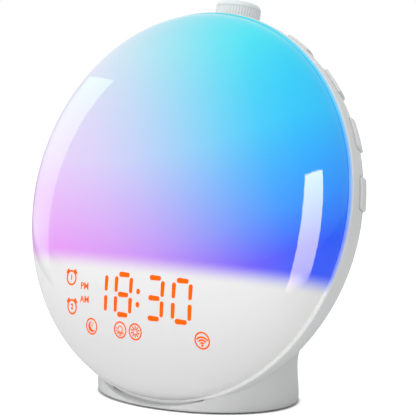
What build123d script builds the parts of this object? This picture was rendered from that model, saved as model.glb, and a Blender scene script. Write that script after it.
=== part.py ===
"""Sunrise alarm clock: a round light with a clock display, standing on an oval foot.

Millimetres. +Z up, +X to the right as seen from the front, and the face looks towards -Y.
The origin is on the table, under the middle of the clock. The round face leans back, so most
pieces are drawn in the face's own frame: x to the right, w up along the face, and n forward.
"""
import os
from math import ceil, cos, radians, sin, tan

from build123d import *

os.makedirs("parts", exist_ok=True)

# Stance
lean = 14.0  # the face leans back by this many degrees
rim_clear = 1.5  # lowest point of the rim above the table
face_y = -7.0  # middle of the rim
foot_y = 1.5  # middle of the oval foot

# Rear housing
rim_radius = 90.0
back_depth = 40.0  # from the rim to the flat back
bowl_overrun = 4.05  # the full curve would end this far behind the flat back
fullness = 0.6125  # of every domed curve: 0.552 is an ellipse, 1 is a box
wall = 2.5
bare_rim = 0.4  # rim left showing round the diffuser
lip_round = 0.4
foot_length = 101.2
foot_width = 75.2
foot_round = 1.2
foot_floor = 3.0
pad_drop = 0.5  # the foot's underside above the table
toe_slope = 15.0  # the foot's front opens out below the rim by this many degrees
# The neck is lofted through ovals: height, and how far each is wider, shallower and set forward
neck_ovals = (
    (12.0, 0.0, 0.0, 0.0),
    (20.0, 0.9, 0.5, 0.8),
    (28.0, 6.2, 3.0, 3.4),
    (40.0, 14.0, 7.5, 6.5),
    (54.0, 16.0, 14.0, 9.0),
)

# Diffuser
shell = 2.0
shoulder = 1.2  # height of the flat band round the dome
shoulder_step = 0.9  # width of the band
dome_depth = 26.8
skirt_inset = 1.7  # from the dome's edge in to the skirt
skirt_depth = 5.0
skirt_play = 0.1
dome_clearance = 0.4

# Clearances
slide_clearance = 0.3
shaft_clearance = 0.05
screw_clearance = 0.1
piece_gap = 0.25

# Screws
post_radius = 3.0
pilot_radius = 1.4
screw_radius = pilot_radius - screw_clearance
screw_hole = 1.7
head_radius = 2.6
head_height = 1.8
head_round = 0.6
screw_length = 8.0
screw_slot = 0.7

# Knob and its encoder, measured along the knob's axis from the middle of the face
knob_back = 17.4  # knob axis behind the rim
knob_radius = 10.5
knob_height = 8.6
knob_round = 2.6
knob_ribs = 48
rib_depth = 0.35
knob_skin = 1.8
knob_travel = 0.8
pressed_gap = 0.2  # between knob and turret when the knob is pressed
knob_hub = 4.6
hub_rise = 3.0  # the hub ends this far above the knob's lower edge
turret_radius = 11.3
turret_drop = 1.2  # the turret's top is this far inside the rim's radius
turret_depth = 24.8
spot_play = 0.4
bush_radius = 3.5
bush_rise = 2.2  # above the turret
nut_width = 10.0
nut_height = 1.8
encoder_size = 12.0
encoder_corner = 1.0
encoder_height = 6.8
encoder_plug = (6.0, 4.0, 3.0)
shaft_radius = 3.0
shaft_flat = 1.5  # the D flat is this far from the axis
collar_radius = 3.9
collar_height = 1.2
plunger_radius = 3.6
plunger_height = 1.4
chamber_radius = 4.2
chamber_roof = 1.6
board_thickness = 1.6
encoder_board_radius = 8.3

# Side buttons
button_angles = (60.5, 43.0, 25.5, 8.0)  # above the horizontal, right side
button_depth = 11.0  # middle of a button behind the rim
button_length = 14.3
button_width = 9.0
button_corner = 1.3
button_proud = 1.2
button_edge = 0.7
button_travel = 0.6
flange_drop = 6.6  # the flange is this far inside the housing's inner radius
flange_height = 1.2
flange_margin = 1.5
stem_radius = 1.6
stem_free = 0.9  # stem left showing between flange and switch
stem_overlap = 1.0  # how far a stem enters its switch at rest
switch_size = 6.0
switch_height = 5.0
switch_overhang = 0.2  # switches stand out past their board's edge
switch_board_width = 12.6
switch_board_overrun = 10.0  # degrees past the first and last button
switch_post_radius = 2.6
switch_post_inset = 4.0

# Inner frame, light board and divider
frame_play = 0.5  # inside the diffuser's skirt
frame_back = 4.6  # behind the rim, clear of the button flanges
frame_plate = 2.0
frame_rim = 2.0
frame_rim_top = 1.0
frame_post_inset = 9.4
frame_post_angles = (75.0, 105.0, -12.0, 192.0, -50.0, 230.0)
divider_wall = 2.0
divider_gap = 1.65  # above the display
light_board_inset = 8.0  # inside the frame's posts
led_size = 5.0
led_height = 1.5
led_ring_count = 3
led_first_ring = 6  # lights on the smallest ring, and as many more on each next one
led_edge = 8.0
light_screw_angles = (0.0, 60.0, 120.0, 180.0)
light_boss = 4.0
light_screw_length = 5.0

# Display: seven-bar digits, with a column of marks to their left and a row of icons below
digit_drop = 44.6  # middle of the digits above the rim's lowest point
digit_x = 1.2
digit_height = 18.0
digit_width = 8.8
digit_gap = 6.1
colon_gap = 9.2  # between the two middle digits
colon_half = 2.9
stroke = 1.5
stroke_gap = 0.5
word_gap = 2.7
word_length = 4.4
word_height = 2.6
word_half = 3.0
word_rise = -1.2
alarm_gap = 4.2
alarm_radius = 2.6
alarm_half = 6.55
alarm_rise = -1.55
icon_gap = 3.3
icon_radius = 3.7
icon_places = (-28.1, -9.8, -0.8, 34.5)
display_left = 2.1  # edges of the block round what lights up
display_right = 12.5
display_above = 3.15
display_below = 1.3
display_back = 2.9  # back of its board, in front of the rim
display_depth = 6.1
recess = 0.6  # light pipes sit this far below the display's front
display_post_radius = 2.2
display_screw_inset = 5.0
display_screw_length = 6.0

# Main board and sockets
main_board_width = 78.0
main_board_height = 36.0
main_board_w = -22.0
board_inset = 3.5
board_corner = 1.5
# Chips: place on the board, width, height, rise; and cans: place, radius, rise
board_chips = ((0.0, 4.0, 10.0, 10.0, 1.6), (-18.0, -4.0, 6.0, 5.0, 1.6), (16.0, -9.0, 7.0, 7.0, 4.0))
board_cans = ((-27.0, 4.0, 4.0, 11.0), (-17.0, 8.0, 3.2, 9.0), (30.0, 0.0, 3.2, 9.0))
radio_x = 16.0
radio_w = 5.0
radio_width = 18.0
radio_height = 20.0
radio_aerial = 6.0
radio_margin = 0.8
radio_board = 0.8
radio_can = 2.4
jack_x = -15.0
jack_width = 9.0
jack_height = 11.0
jack_nose = 3.9
jack_bore = 2.75
jack_pin = 1.05
usb_x = 13.0
usb_width = 14.6
usb_height = 7.2
usb_skin = 0.5
usb_tongue = 1.9
usb_tongue_side = 0.5
socket_rise = 8.0  # above the main board's middle
socket_length = 11.9  # from the main board to the back wall
socket_hole = 9.0
socket_recess = 0.6

# Speaker, on a ring that stands on the back wall
speaker_gap = 5.5  # above the main board
speaker_radius = 19.5
speaker_flange = 1.2
speaker_depth = 8.0
speaker_skin = 1.0
speaker_ring_height = 4.0
speaker_ring_wall = 2.0
speaker_ear_reach = 2.8
speaker_ear_radius = 3.2
speaker_ear_angles = (45.0, 135.0, 225.0, 315.0)
speaker_screw_length = 5.0
magnet_radius = 11.0
magnet_depth = 5.0
cone_depth = 5.5
cone_skin = 0.6
cone_play = 0.75
cap_radius = 6.0
cap_rise = 2.0
slot_pitch = 4.0
slot_width = 1.8
slot_margin = 3.5  # inside the speaker's edge

# Bottom cover, battery and pads
ledge_inset = 4.0
opening_inset = 9.0
cover_lap = 4.0  # the cover's front edge in front of the opening
cover_plate = 1.6
cover_post_inset = 6.6
cover_angles = (90.0, -5.0, 185.0)
cup_rear_gap = 2.25
cup_front_gap = 2.65
door_radius = 12.0
door_thickness = 1.6
door_tab = 1.6
door_tab_width = 6.4
door_tab_height = 1.0
door_turn = 45.0
coin_slot_length = 14.0
coin_slot_width = 1.8
coin_slot_depth = 0.8
cell_radius = 10.0
cell_height = 3.2
cell_round = 0.6
cup_wall = 1.2
cup_roof = 6.8  # above the cover
battery_headroom = 3.0
contact_length = 16.0
contact_end = 4.0
contact_width = 4.0
contact_thickness = 0.4
pad_radius = 5.0
pad_seat = 0.6
pad_edge = 0.25
front_pads = (-53.0, 7.6)  # angle round the foot, and inset
rear_pads = (48.5, 13.0)

# The face's frame
across = Vector(1, 0, 0)
up = Vector(0, sin(radians(lean)), cos(radians(lean)))
forward = Vector(0, -cos(radians(lean)), sin(radians(lean)))
middle = Vector(0, face_y, rim_clear + rim_radius * cos(radians(lean)))
face = Plane(origin=middle, x_dir=across, z_dir=forward)
profile = Plane(origin=middle, x_dir=across, z_dir=-up)  # sketched as (radius, n)
face_axis = Axis(middle, forward)
crown = Plane(origin=middle - forward * knob_back, x_dir=across, z_dir=up)
crown_profile = Plane(origin=crown.origin, x_dir=across, z_dir=forward)  # sketched as (radius, w)
crown_axis = Axis(crown.origin, up)


def bulge(radius, start, depth):
    """A domed outline from the wall (radius, start) to the axis, depth further on."""
    return Bezier(
        (radius, start),
        (radius, start + fullness * depth),
        (fullness * radius, start + depth),
        (0, start + depth),
    )


def write(part, name):
    """Label one finished piece and write its STEP file."""
    part.label = name
    export_step(part, f"parts/{name}.step")


def around(radius, angles):
    """Points on a circle of the face, for the given angles."""
    return [(radius * cos(radians(a)), radius * sin(radians(a))) for a in angles]


def on_foot(inset, angles):
    """Points on the foot's oval, drawn in by inset, for the given angles."""
    return [
        (
            (foot_length / 2 - inset) * cos(radians(a)),
            foot_y + (foot_width / 2 - inset) * sin(radians(a)),
        )
        for a in angles
    ]


def both_sides(spots):
    """The same spots on the right and on the left."""
    return [(side * x, y) for side in (1, -1) for x, y in spots]


def radial(angle):
    """A plane across the direction of one side button: x runs forward, z outwards."""
    out = across * cos(radians(angle)) + up * sin(radians(angle))
    return Plane(origin=middle, x_dir=forward, z_dir=out)


def dish(radius, depth, back):
    """The bowl's solid, from the rim back to its flat."""
    with BuildPart() as bowl:
        with BuildSketch(profile):
            with BuildLine():
                Line((0, 0), (radius, 0))
                bulge(radius, 0, -depth)
                Line((0, -depth), (0, 0))
            make_face()
        revolve(axis=face_axis)
        split(bisect_by=face.offset(-back), keep=Keep.TOP)
    return bowl.part


def pedestal(inset, start):
    """The foot and neck, drawn in by inset, from the height start upwards."""
    ovals = ((start, 0.0, 0.0, 0.0),) + neck_ovals
    with BuildPart() as neck:
        for height, wider, shallower, ahead in ovals:
            with BuildSketch(Plane.XY.offset(height)):
                with Locations((0, foot_y - ahead)):
                    Ellipse(foot_length / 2 + wider - inset, foot_width / 2 - shallower - inset)
        loft()
    return neck.part


def pan_screw(plane, length=screw_length):
    """One pan-head screw, driven along -z of its plane, with its head on the plane."""
    with BuildPart(plane) as screw:
        Cylinder(head_radius, head_height, align=(Align.CENTER, Align.CENTER, Align.MIN))
        fillet(screw.edges().group_by(Axis(plane.origin, plane.z_dir))[-1], head_round)
        Cylinder(screw_radius, length, align=(Align.CENTER, Align.CENTER, Align.MAX))
    return screw.part


def screw_group(name, planes, length=screw_length):
    """Identical screws share one node."""
    write(Compound(children=[pan_screw(plane, length) for plane in planes]), name)


def on_face(spots, n):
    """Planes parallel to the face at the given spots."""
    return [Plane(face.from_local_coords(Vector(x, w, n)), across, forward) for x, w in spots]


# ---- Front diffuser: opal dome whose skirt drops into the housing's rim ----
dome_radius = rim_radius - bare_rim
dome_top = shoulder + dome_depth
skirt_outer = dome_radius - skirt_inset
skirt_inner = skirt_outer - shell

with BuildPart() as front_diffuser:
    with BuildSketch(profile):
        with BuildLine():
            Polyline(
                (0, dome_top - shell),
                (0, dome_top),
            )
            bulge(dome_radius - shoulder_step, shoulder, dome_depth)
            Polyline(
                (dome_radius - shoulder_step, shoulder),
                (dome_radius, shoulder),
                (dome_radius, 0),
                (skirt_outer, 0),
                (skirt_outer, -skirt_depth),
                (skirt_inner, -skirt_depth),
                (skirt_inner, shoulder),
            )
            bulge(skirt_inner, shoulder, dome_depth - shell)
        make_face()
    revolve(axis=face_axis)
write(front_diffuser.part, "front_diffuser")

# ---- Rear housing: bowl, knob turret and foot in one moulding ----
bowl_depth = back_depth + bowl_overrun
inner_radius = rim_radius - wall
back_inside = back_depth - wall
outer_bowl = dish(rim_radius, bowl_depth, back_depth)
outer_bowl = fillet(outer_bowl.edges().group_by(Axis(middle, forward))[-1], lip_round)
turret_top = rim_radius - turret_drop
turret_foot = turret_top - turret_depth
flange_top = inner_radius - flange_drop
switch_top = flange_top - flange_height - stem_free
switch_board_outer = switch_top - switch_overhang
switch_board_inner = switch_board_outer - switch_board_width
frame_radius = skirt_inner - frame_play
frame_post_ring = frame_radius - frame_post_inset

# Everything in front of the rim is kept clear for the diffuser
face_reach = dome_top + rim_radius * sin(radians(lean))
with BuildPart() as face_room:
    with BuildSketch(profile):
        Polygon(
            (0, 0),
            (rim_radius, 0),
            (rim_radius + face_reach * tan(radians(toe_slope)), face_reach),
            (0, face_reach),
            align=None,
        )
    revolve(axis=face_axis)

switch_board_front = button_depth + switch_size / 2
switch_board_back = switch_board_front + board_thickness
switch_post_angles = [(button_angles[i] + button_angles[i + 1]) / 2 for i in (0, 2)]
switch_spots = around(switch_board_inner + switch_post_inset, switch_post_angles)
frame_spots = around(frame_post_ring, frame_post_angles)
main_board_back = back_inside - socket_length
main_board_front = main_board_back - board_thickness
half_x = main_board_width / 2 - board_inset
half_w = main_board_height / 2 - board_inset
board_spots = both_sides([(half_x, main_board_w + half_w), (half_x, main_board_w - half_w)])
speaker_seat = back_inside - speaker_ring_height
speaker_w = main_board_w + main_board_height / 2 + speaker_gap + speaker_radius
speaker_ears = [
    (x, speaker_w + w) for x, w in around(speaker_radius + speaker_ear_reach, speaker_ear_angles)
]
# Posts that stand on the bowl's wall: where, radius, and how far their tops are behind the rim
post_sets = (
    (frame_spots, post_radius, frame_back),
    (both_sides(switch_spots), switch_post_radius, switch_board_back),
    (board_spots, post_radius, main_board_back),
    (speaker_ears, post_radius, speaker_seat),
)

with BuildPart() as posts:
    for spots, radius, top in post_sets:
        with BuildSketch(face.offset(-back_depth)):
            with Locations(*spots):
                Circle(radius)
        extrude(amount=back_depth - top)
    with BuildSketch(face.offset(-back_depth)):
        with Locations((0, speaker_w)):
            Circle(speaker_radius)
    extrude(amount=back_depth - speaker_seat)
    with BuildSketch(face.offset(-back_inside)):
        with Locations((0, speaker_w)):
            Circle(speaker_radius - speaker_ring_wall)
    extrude(amount=speaker_ring_height, mode=Mode.SUBTRACT)
    add(outer_bowl, mode=Mode.INTERSECT)

cover_spots = on_foot(cover_post_inset, cover_angles)
floor_top = pad_drop + foot_floor
cover_top = pad_drop + cover_plate
pad_top = pad_drop + pad_seat
front_pad_spots = both_sides(on_foot(front_pads[1], [front_pads[0]]))
rear_pad_spots = both_sides(on_foot(rear_pads[1], [rear_pads[0]]))
tab_reach = door_radius + door_tab
cup_bore = tab_reach + slide_clearance + piece_gap
cup_radius = cup_bore + cup_wall
battery_y = foot_y + foot_width / 2 - opening_inset - cup_rear_gap - cup_radius
door_centre = (0, battery_y)
opening_front = battery_y - cup_radius - cup_front_gap
cover_front = opening_front - cover_lap
slot_field = speaker_radius - slot_margin
grille_half = ceil(slot_field / slot_pitch) - 1
socket_w = main_board_w + socket_rise
grille_x = [i * slot_pitch for i in range(-grille_half, grille_half + 1)]


def foot_panel(height, inset, front):
    """The part of the foot's oval behind the line y = front, drawn in by inset."""
    with BuildSketch(Plane.XY.offset(height)) as panel:
        with Locations((0, foot_y)):
            Ellipse(foot_length / 2 - inset, foot_width / 2 - inset)
        with Locations((0, front)):
            Rectangle(foot_length, foot_width, align=(Align.CENTER, Align.MIN), mode=Mode.INTERSECT)
    return panel.sketch


def button_outline(margin):
    """A side button's outline, grown by margin, on its own plane."""
    with Locations((-button_depth, 0)):
        RectangleRounded(
            button_width + 2 * margin, button_length + 2 * margin, button_corner + max(margin, 0)
        )


# Inside the neck the bowl's wall goes on above the battery, and its posts stand on it
with BuildPart() as bowl_above:
    add(outer_bowl)
    split(bisect_by=Plane.XY.offset(cover_top + cup_roof + battery_headroom), keep=Keep.TOP)

with BuildPart() as neck_room:
    add(pedestal(wall, floor_top))
    add(bowl_above.part, mode=Mode.SUBTRACT)

with BuildPart() as button_holes:
    for angle in button_angles:
        with BuildSketch(radial(angle).offset(flange_top)):
            button_outline(slide_clearance)
        extrude(amount=rim_radius - flange_top + button_proud)
    mirror(about=Plane.YZ)

with BuildPart() as rear_housing:
    add(pedestal(0, pad_drop))
    fillet(rear_housing.edges().group_by(Axis.Z)[0], foot_round)
    add(face_room.part, mode=Mode.SUBTRACT)
    add(outer_bowl)
    split(bisect_by=Plane.XY.offset(pad_drop), keep=Keep.TOP)
    with BuildSketch(crown.offset(turret_foot)):
        Circle(turret_radius)
    extrude(amount=turret_top - turret_foot)
    with BuildSketch(crown.offset(turret_top)):
        Circle(turret_radius + spot_play)
    extrude(amount=rim_radius - turret_top, mode=Mode.SUBTRACT)
    # The hollow
    add(dish(inner_radius, bowl_depth - wall, back_inside), mode=Mode.SUBTRACT)
    add(neck_room.part, mode=Mode.SUBTRACT)
    with BuildSketch(crown.offset(turret_foot)):
        Circle(turret_radius - wall)
    extrude(amount=turret_top - wall - turret_foot, mode=Mode.SUBTRACT)
    with BuildSketch(face):
        Circle(skirt_outer + skirt_play)
    extrude(amount=-skirt_depth - skirt_play, mode=Mode.SUBTRACT)
    # What stands up inside
    add(posts.part)
    with BuildSketch(Plane.XY.offset(floor_top)):
        with Locations(*cover_spots):
            Circle(post_radius)
    extrude(amount=screw_length)
    # Pilot holes
    for spots, _, top in post_sets[:3]:
        with BuildSketch(face.offset(-top)):
            with Locations(*spots):
                Circle(pilot_radius)
        extrude(amount=-screw_length, mode=Mode.SUBTRACT)
    with BuildSketch(face.offset(-speaker_seat)):
        with Locations(*speaker_ears):
            Circle(pilot_radius)
    extrude(amount=-speaker_screw_length, mode=Mode.SUBTRACT)
    with BuildSketch(Plane.XY.offset(cover_top)):
        with Locations(*cover_spots):
            Circle(pilot_radius)
    extrude(amount=screw_length, mode=Mode.SUBTRACT)
    # Openings through the wall
    add(button_holes.part, mode=Mode.SUBTRACT)
    with BuildSketch(crown.offset(turret_foot)):
        Circle(bush_radius + screw_clearance)
    extrude(amount=rim_radius - turret_foot, mode=Mode.SUBTRACT)
    with BuildSketch(face.offset(-back_depth)):
        with Locations((jack_x, socket_w)):
            Circle(jack_nose + piece_gap)
        with Locations((usb_x, socket_w)):
            Rectangle(usb_width + 2 * piece_gap, usb_height + 2 * piece_gap)
        for x in grille_x:
            with Locations((x, speaker_w)):
                SlotOverall(2 * (slot_field**2 - x**2) ** 0.5, slot_width, rotation=90)
    extrude(amount=wall, mode=Mode.SUBTRACT)
    # The underside: seats for the front pads, and a ledge round the cover's opening
    with BuildSketch(Plane.XY.offset(pad_drop)):
        with Locations(*front_pad_spots):
            Circle(pad_radius)
    extrude(amount=pad_seat, mode=Mode.SUBTRACT)
    extrude(foot_panel(pad_drop, ledge_inset, cover_front), amount=cover_plate, mode=Mode.SUBTRACT)
    extrude(foot_panel(pad_drop, opening_inset, opening_front), amount=foot_floor, mode=Mode.SUBTRACT)
write(rear_housing.part, "rear_housing")

# ---- Bottom cover, battery and pads ----
def door_outline(margin, angle):
    """The battery door's disc and its two lugs, grown by margin, at the given turn."""
    with Locations(door_centre):
        Circle(door_radius + margin)
    with Locations(Location((0, battery_y, 0), (0, 0, angle))):
        Rectangle(2 * (tab_reach + margin), door_tab_width + 2 * margin)
    with Locations(door_centre):
        Circle(tab_reach + margin, mode=Mode.INTERSECT)


with BuildPart() as bottom_cover:
    extrude(foot_panel(pad_drop, ledge_inset + piece_gap, cover_front + piece_gap), amount=cover_plate)
    with BuildSketch(Plane.XY.offset(pad_drop)):
        door_outline(slide_clearance, 90 + door_turn)
    extrude(amount=cover_plate, mode=Mode.SUBTRACT)
    with BuildSketch(Plane.XY.offset(pad_drop)):
        with Locations(*rear_pad_spots):
            Circle(pad_radius)
    extrude(amount=pad_seat, mode=Mode.SUBTRACT)
    with Locations(*[(x, y, pad_drop) for x, y in cover_spots]):
        Cone(
            head_radius + screw_clearance,
            screw_radius + screw_clearance,
            cover_plate,
            align=(Align.CENTER, Align.CENTER, Align.MIN),
            mode=Mode.SUBTRACT,
        )
write(bottom_cover.part, "bottom_cover")

with BuildPart() as cover_screws:
    with Locations(*[(x, y, pad_drop) for x, y in cover_spots]):
        Cone(head_radius, screw_radius, cover_plate, align=(Align.CENTER, Align.CENTER, Align.MIN))
        Cylinder(screw_radius, screw_length, align=(Align.CENTER, Align.CENTER, Align.MIN))
    with BuildSketch(Plane.XY.offset(pad_drop)):
        for x, y in cover_spots:
            with Locations((x, y)):
                Rectangle(head_radius, screw_slot)
                Rectangle(screw_slot, head_radius)
    extrude(amount=screw_slot, mode=Mode.SUBTRACT)
write(cover_screws.part, "cover_screws")

with BuildPart() as battery_door:
    with BuildSketch(Plane.XY.offset(pad_drop)):
        with Locations(door_centre):
            Circle(door_radius)
    extrude(amount=door_thickness)
    with BuildSketch(Plane.XY.offset(cover_top + slide_clearance)):
        door_outline(0, 90)
        with Locations(door_centre):
            Circle(cell_radius, mode=Mode.SUBTRACT)
    extrude(amount=door_tab_height)
    with BuildSketch(Plane.XY.offset(cover_top)):
        with Locations(door_centre):
            Circle(door_radius)
            Circle(cell_radius, mode=Mode.SUBTRACT)
    extrude(amount=slide_clearance)
    with BuildSketch(Plane.XY.offset(pad_drop)):
        with Locations(door_centre):
            SlotOverall(coin_slot_length, coin_slot_width)
    extrude(amount=coin_slot_depth, mode=Mode.SUBTRACT)
write(battery_door.part, "battery_door")

cell_bottom = cover_top + slide_clearance
cell_top = cell_bottom + cell_height
tab_top = cell_bottom + door_tab_height
roof = cover_top + cup_roof - cup_wall

with BuildPart() as coin_cell:
    with BuildSketch(Plane.XY.offset(cell_bottom)):
        with Locations(door_centre):
            Circle(cell_radius - piece_gap)
    extrude(amount=cell_height)
    fillet(coin_cell.edges().group_by(Axis.Z)[-1], cell_round)
write(coin_cell.part, "coin_cell")

with BuildPart() as battery_holder:
    with BuildSketch(Plane.XY.offset(cover_top)):
        with Locations(door_centre):
            Circle(cup_radius)
    extrude(amount=cup_roof)
    with BuildSketch(Plane.XY.offset(cover_top)):
        with Locations(door_centre):
            Circle(cup_bore)
    extrude(amount=cup_roof - cup_wall, mode=Mode.SUBTRACT)
    with BuildSketch(Plane.XY.offset(tab_top + slide_clearance)):
        with Locations(door_centre):
            Circle(cell_radius + slide_clearance + cup_wall)
            Circle(cell_radius + slide_clearance, mode=Mode.SUBTRACT)
    extrude(amount=roof - tab_top - slide_clearance)
write(battery_holder.part, "battery_holder")

with BuildPart() as battery_contact:
    with BuildSketch(Plane.XZ.offset(-battery_y)):
        with BuildLine():
            under_roof = roof - contact_thickness / 2
            line = Polyline(
                (-contact_length / 2, under_roof),
                (contact_end - contact_length / 2, under_roof),
                (0, cell_top + contact_thickness),
                (contact_length / 2 - contact_end, under_roof),
                (contact_length / 2, under_roof),
            )
            offset(line, contact_thickness / 2, kind=Kind.INTERSECTION)
        make_face()
    extrude(amount=contact_width / 2, both=True)
write(battery_contact.part, "battery_contact")

with BuildPart() as rubber_feet:
    for spots in (front_pad_spots, rear_pad_spots):
        with BuildSketch():
            with Locations(*spots):
                Circle(pad_radius)
        extrude(amount=pad_top)
    chamfer(rubber_feet.edges().group_by(Axis.Z)[0], pad_edge)
write(rubber_feet.part, "rubber_feet")

# ---- Knob and encoder ----
knob_bottom = turret_top + knob_travel + pressed_gap
knob_top = knob_bottom + knob_height
knob_shoulder = knob_top - knob_round
bore_top = knob_top - knob_skin


def d_shape(play):
    """Section of the shaft's flatted end, grown by play."""
    Circle(shaft_radius + play)
    with Locations((0, shaft_flat + play)):
        Rectangle(
            2 * (shaft_radius + play),
            shaft_radius + play,
            align=(Align.CENTER, Align.MIN),
            mode=Mode.SUBTRACT,
        )


with BuildPart() as knob:
    with BuildSketch(crown.offset(knob_bottom)):
        with BuildLine():
            ring = []
            for i in range(knob_ribs):
                for turn, radius in ((0.0, knob_radius), (0.5, knob_radius - rib_depth)):
                    angle = radians(360 * (i + turn) / knob_ribs)
                    ring.append((radius * cos(angle), radius * sin(angle)))
            Polyline(*ring, close=True)
        make_face()
    extrude(amount=knob_shoulder - knob_bottom)
    with BuildSketch(crown_profile):
        with BuildLine():
            Polyline((knob_radius - knob_round, knob_top), (0, knob_top), (0, knob_shoulder))
            Line((0, knob_shoulder), (knob_radius, knob_shoulder))
            RadiusArc((knob_radius, knob_shoulder), (knob_radius - knob_round, knob_top), -knob_round)
        make_face()
    revolve(axis=crown_axis)
    with BuildSketch(crown.offset(knob_bottom)):
        Circle(knob_radius - knob_skin)
    extrude(amount=knob_shoulder - knob_bottom, mode=Mode.SUBTRACT)
    with BuildSketch(crown.offset(knob_bottom + hub_rise)):
        Circle(knob_hub)
    extrude(amount=knob_shoulder - knob_bottom - hub_rise)
    with BuildSketch(crown.offset(knob_bottom)):
        d_shape(shaft_clearance)
    extrude(amount=bore_top - knob_bottom, mode=Mode.SUBTRACT)
write(knob.part, "knob")

encoder_top = turret_top - wall
encoder_bottom = encoder_top - encoder_height
bush_top = turret_top + bush_rise
chamber_top = encoder_top - chamber_roof
collar_bottom = chamber_top - shaft_clearance - collar_height
plunger_top = collar_bottom - shaft_clearance
chamber_bottom = plunger_top - plunger_height - knob_travel - slide_clearance
flat_start = knob_bottom + hub_rise - knob_travel

with BuildPart() as encoder_shaft:
    with BuildSketch(crown.offset(collar_bottom)):
        Circle(collar_radius)
    extrude(amount=collar_height)
    with BuildSketch(crown.offset(collar_bottom)):
        Circle(shaft_radius)
    extrude(amount=flat_start - collar_bottom)
    with BuildSketch(crown.offset(flat_start)):
        d_shape(0)
    extrude(amount=bore_top - shaft_clearance - flat_start)
write(encoder_shaft.part, "encoder_shaft")

with BuildPart() as encoder_plunger:
    with BuildSketch(crown.offset(plunger_top)):
        Circle(plunger_radius)
    extrude(amount=-plunger_height)
    chamfer(encoder_plunger.edges(), shaft_clearance)
write(encoder_plunger.part, "encoder_plunger")

with BuildPart() as encoder_body:
    with BuildSketch(crown.offset(encoder_bottom)):
        RectangleRounded(encoder_size, encoder_size, encoder_corner)
    extrude(amount=encoder_height)
    with BuildSketch(crown.offset(encoder_top)):
        Circle(bush_radius)
    extrude(amount=bush_top - encoder_top)
    with BuildSketch(crown.offset(chamber_bottom)):
        Circle(chamber_radius)
    extrude(amount=chamber_top - chamber_bottom, mode=Mode.SUBTRACT)
    with BuildSketch(crown.offset(chamber_bottom)):
        Circle(shaft_radius + shaft_clearance)
    extrude(amount=bush_top - chamber_bottom, mode=Mode.SUBTRACT)
write(encoder_body.part, "encoder_body")

with BuildPart() as encoder_nut:
    with BuildSketch(crown.offset(turret_top)):
        RegularPolygon(nut_width / 2, 6, major_radius=False)
        Circle(bush_radius + shaft_clearance, mode=Mode.SUBTRACT)
    extrude(amount=nut_height)
write(encoder_nut.part, "encoder_nut")

with BuildPart() as encoder_board:
    with BuildSketch(crown.offset(encoder_bottom)):
        Circle(encoder_board_radius)
    extrude(amount=-board_thickness)
    with BuildSketch(crown.offset(encoder_bottom - board_thickness)):
        Rectangle(encoder_plug[0], encoder_plug[1])
    extrude(amount=-encoder_plug[2])
write(encoder_board.part, "encoder_board")

# ---- Side buttons, their switches and switch boards ----
proud_bowl = dish(rim_radius + button_proud, bowl_depth + button_proud, back_depth)


def side_button(angle):
    """One button: cap cut to the bowl's own curve, a flange that traps it, and a stem."""
    seat = radial(angle)
    with BuildPart() as button:
        with BuildSketch(seat.offset(flange_top)):
            button_outline(0)
        extrude(amount=rim_radius - flange_top + button_proud)
        add(proud_bowl, mode=Mode.INTERSECT)
        fillet(button.faces().sort_by(Axis(middle, seat.z_dir))[-1].edges(), button_edge)
        with BuildSketch(seat.offset(flange_top - flange_height)):
            button_outline(flange_margin)
        extrude(amount=flange_height)
        with BuildSketch(seat.offset(switch_top - stem_overlap)):
            with Locations((-button_depth, 0)):
                Circle(stem_radius)
        extrude(amount=flange_top - flange_height - switch_top + stem_overlap)
    return button.part


def switch(angle):
    """One right-angle switch, its bore facing the button's stem."""
    with BuildPart() as body:
        with BuildSketch(radial(angle).offset(switch_top)):
            with Locations((-button_depth, 0)):
                Rectangle(switch_size, switch_size)
                Circle(stem_radius + shaft_clearance, mode=Mode.SUBTRACT)
        extrude(amount=-stem_overlap - button_travel - slide_clearance)
        with BuildSketch(radial(angle).offset(switch_top - stem_overlap - button_travel - slide_clearance)):
            with Locations((-button_depth, 0)):
                Rectangle(switch_size, switch_size)
        extrude(amount=-switch_height)
    return body.part


with BuildPart() as switch_board:
    with BuildSketch(face.offset(-switch_board_front)):
        with BuildLine():
            start = button_angles[-1] - switch_board_overrun
            sweep = button_angles[0] + switch_board_overrun - start
            inner = CenterArc((0, 0), switch_board_inner, start, sweep)
            outer = CenterArc((0, 0), switch_board_outer, start, sweep)
            Line(inner @ 0, outer @ 0)
            Line(inner @ 1, outer @ 1)
        make_face()
        with Locations(*switch_spots):
            Circle(screw_hole, mode=Mode.SUBTRACT)
    extrude(amount=-board_thickness)

# The right-hand pieces, and their mirror images on the left
right_pieces = [(f"button_{i}", side_button(a)) for i, a in enumerate(button_angles, start=1)]
right_pieces.append(("switches", Compound(children=[switch(a) for a in button_angles])))
right_pieces.append(("switch_board", switch_board.part))
for name, piece in right_pieces:
    write(piece, f"right_{name}")
    write(mirror(piece, about=Plane.YZ), f"left_{name}")
screw_group("switch_board_screws", on_face(both_sides(switch_spots), -switch_board_front))

# ---- Inner frame: white tray that carries the lights, with the divider above the display ----
frame_front = frame_plate - frame_back
light_front = frame_front + board_thickness
light_board_radius = frame_post_ring - light_board_inset
led_pitch = (light_board_radius - led_edge) / led_ring_count
light_screw_spots = around((led_ring_count - 0.5) * led_pitch, light_screw_angles)

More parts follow.
